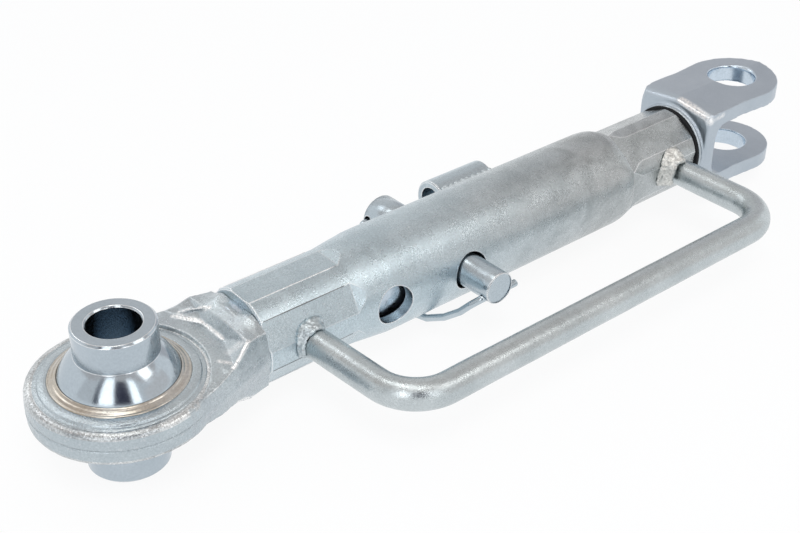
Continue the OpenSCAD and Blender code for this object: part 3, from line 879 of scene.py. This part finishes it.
def shank():
    """The shank with a thread of 60 degrees, ending in a plain collar behind the seal."""
    n = 72
    xs = [THREAD_X0 + k * PITCH / 8 for k in range(int((THREAD_X1 - THREAD_X0) / PITCH * 8) + 1)]
    rows = []
    for x in xs:
        row = []
        fade = max(0.0, min(1.0, (x - THREAD_X0) / 2.0, (THREAD_X1 - x) / 3.0))
        for k in range(n):
            a = 2 * math.pi * k / n
            turn = (x / PITCH - k / n) % 1.0
            depth = THREAD_DEPTH * (1.0 - min(1.0, abs(turn - 0.5) / 0.44))
            row.append((x, a, SHANK_R - depth * fade))
        rows.append(row)
    for x, r in COLLAR:
        rows.append([(x, 2 * math.pi * k / n, r) for k in range(n)])
    rows.insert(0, [(SHANK_X0, 2 * math.pi * k / n, SHANK_R - 1.95) for k in range(n)])
    verts = [Vector((x, r * math.cos(a), r * math.sin(a))) * MM for row in rows for x, a, r in row]
    faces = []
    for i in range(len(rows) - 1):
        for k in range(n):
            k2 = (k + 1) % n
            faces.append((i * n + k, i * n + k2, (i + 1) * n + k2, (i + 1) * n + k))
    for i, x in ((0, SHANK_X0), (len(rows) - 1, COLLAR_X1)):
        mid = len(verts)
        verts.append(Vector((x, 0.0, 0.0)) * MM)
        faces += [(i * n + k, i * n + (k + 1) % n, mid) for k in range(n)]
    return mesh_object("fork_shank", verts, faces)


stand_for(shank(), M_SCREW, "fork", "zinc_forging", "clevis")

SEAL = [(18.05, 381.32), (24.6, 381.32), (25.1, 381.6), (25.25, 382.4), (25.2, 383.2), (24.8, 383.64),
        (18.05, 383.64)]
seal = lathe("seal_lip", SEAL, 128, axis="X")
stand_for(seal, M_SEAL, "fork_nut", "black_rubber", "seal_ring")


# Floor, world and lights

FLOOR_Z = cad_box[0][2] - 0.0005
FLOOR_HALF = 8.0
FLOOR_GLOW = 0.90


def seen_rays(nt):
    """1 for the rays that show the background, and 0 for those that only light the object."""
    path = put(nt, "ShaderNodeLightPath")
    pair = put(nt, "ShaderNodeMath", operation="ADD")
    nt.links.new(path.outputs["Is Camera Ray"], pair.inputs[0])
    nt.links.new(path.outputs["Is Glossy Ray"], pair.inputs[1])
    total = put(nt, "ShaderNodeMath", operation="ADD", use_clamp=True)
    nt.links.new(pair.outputs[0], total.inputs[0])
    nt.links.new(path.outputs["Is Transmission Ray"], total.inputs[1])
    return total.outputs[0]


def floor_material():
    """A pale floor that looks almost white and still keeps the object's shadow."""
    mat, nt = tree("floor_pale")
    out = put(nt, "ShaderNodeOutputMaterial")
    lit = put(nt, "ShaderNodeBsdfDiffuse")
    lit.inputs["Color"].default_value = (0.92, 0.92, 0.92, 1.0)
    glow = put(nt, "ShaderNodeEmission")
    glow.inputs["Color"].default_value = (1.0, 1.0, 1.0, 1.0)
    glow.inputs["Strength"].default_value = 1.0
    part = put(nt, "ShaderNodeMath", operation="MULTIPLY")
    nt.links.new(seen_rays(nt), part.inputs[0])
    part.inputs[1].default_value = FLOOR_GLOW
    mix = put(nt, "ShaderNodeMixShader")
    nt.links.new(part.outputs[0], mix.inputs[0])
    nt.links.new(lit.outputs[0], mix.inputs[1])
    nt.links.new(glow.outputs[0], mix.inputs[2])
    nt.links.new(mix.outputs[0], out.inputs["Surface"])
    return mat


corners = [(x * FLOOR_HALF, y * FLOOR_HALF, FLOOR_Z) for x, y in ((-1, -1), (1, -1), (1, 1), (-1, 1))]
floor = mesh_object("floor", corners, [(0, 1, 2, 3)])
floor.data.materials.append(floor_material())

world = bpy.data.worlds.new("studio")
bpy.context.scene.world = world
wt = empty_tree(world)
w_out = put(wt, "ShaderNodeOutputWorld")
w_light = put(wt, "ShaderNodeBackground")
w_light.inputs["Color"].default_value = (0.93, 0.96, 1.0, 1.0)
w_light.inputs["Strength"].default_value = 0.75
w_seen = put(wt, "ShaderNodeBackground")
w_seen.inputs["Color"].default_value = (1.0, 1.0, 1.0, 1.0)
w_seen.inputs["Strength"].default_value = 1.0
w_mix = put(wt, "ShaderNodeMixShader")
wt.links.new(seen_rays(wt), w_mix.inputs[0])
wt.links.new(w_light.outputs[0], w_mix.inputs[1])
wt.links.new(w_seen.outputs[0], w_mix.inputs[2])
wt.links.new(w_mix.outputs[0], w_out.inputs["Surface"])


def lamp(name, at, aim, size, power):
    """A soft rectangular lamp that points at a place."""
    data = bpy.data.lights.new(name, "AREA")
    data.shape = "RECTANGLE"
    data.size = size[0]
    data.size_y = size[1]
    data.energy = power
    obj = link(bpy.data.objects.new(name, data))
    obj.location = at
    obj.rotation_euler = (Vector(aim) - Vector(at)).to_track_quat("-Z", "Y").to_euler()
    return obj


def card(name, centre, aim, size, colour):
    """A card that only reflections see, dark or bright, as it stands beside a product table."""
    mat, nt = tree(name)
    out = put(nt, "ShaderNodeOutputMaterial")
    glow = put(nt, "ShaderNodeEmission")
    glow.inputs["Color"].default_value = (*colour, 1.0)
    nt.links.new(glow.outputs[0], out.inputs["Surface"])
    w, h = size[0] / 2, size[1] / 2
    obj = mesh_object(name, [(-w, -h, 0), (w, -h, 0), (w, h, 0), (-w, h, 0)], [(0, 1, 2, 3)])
    obj.data.materials.append(mat)
    obj.location = centre
    obj.rotation_euler = (Vector(aim) - Vector(centre)).to_track_quat("-Z", "Y").to_euler()
    obj.visible_camera = False
    obj.visible_shadow = False
    obj.visible_diffuse = False
    return obj


MIDDLE = (0.19, 0.0, 0.0)
key = lamp("key", (-0.5, -0.9, 1.6), MIDDLE, (0.9, 0.9), 16.0)
key.visible_glossy = False
card("ceiling", (0.19, 0.0, 1.9), MIDDLE, (5.0, 5.0), (0.68, 0.64, 0.62))
for name, y in (("soft_over_near", -0.27), ("soft_over_far", 0.27)):
    card(name, (-0.1, y, 1.7), (-0.1, y, 0.0), (0.41, 0.95), (3.0, 2.95, 2.85))
card("flag_back", (0.75, 1.25, 0.9), MIDDLE, (1.5, 1.3), (0.80, 0.78, 0.77))
card("flag_far", (1.65, 0.75, 0.65), MIDDLE, (1.3, 1.1), (0.68, 0.66, 0.67))
card("soft_top", (0.56, -0.66, 0.86), (0.12, 0.0, 0.0), (0.42, 0.42), (2.7, 2.6, 2.5))
card("soft_back", (-0.05, 1.2, 1.2), (0.0, 0.0, 0.0), (0.5, 0.5), (2.4, 2.4, 2.4))
card("grey_low", (1.05, -1.15, 0.42), MIDDLE, (1.6, 0.7), (0.84, 0.80, 0.78))

FRONT = Vector((-0.651, -0.759, 0.0))
SIDE = Vector((0.759, -0.651, 0.0))
CARD_FAR = 1.2
CARD_LOW = 0.28
CARD_HIGH = 2.35


def front_card(name, start, end, colour, high=CARD_HIGH):
    """An upright card before the eye, from one lateral place to another."""
    height = Vector((0.0, 0.0, (CARD_LOW + high) / 2))
    mid = FRONT * CARD_FAR + SIDE * (start + end) / 2 + height
    return card(name, mid, mid - FRONT, (abs(end - start), high - CARD_LOW), colour)


front_card("flag_front", -0.02, 0.66, (0.03, 0.03, 0.06), high=1.6)
front_card("strip_left", -0.62, -0.06, (2.3, 2.3, 2.3))
front_card("strip_right", 0.72, 1.20, (2.3, 2.3, 2.3))
front_card("flag_left", -0.95, -0.68, (0.10, 0.11, 0.14))
front_card("grey_left", -3.2, -0.95, (0.80, 0.80, 0.80))
front_card("grey_right", 1.20, 3.2, (0.80, 0.80, 0.80))
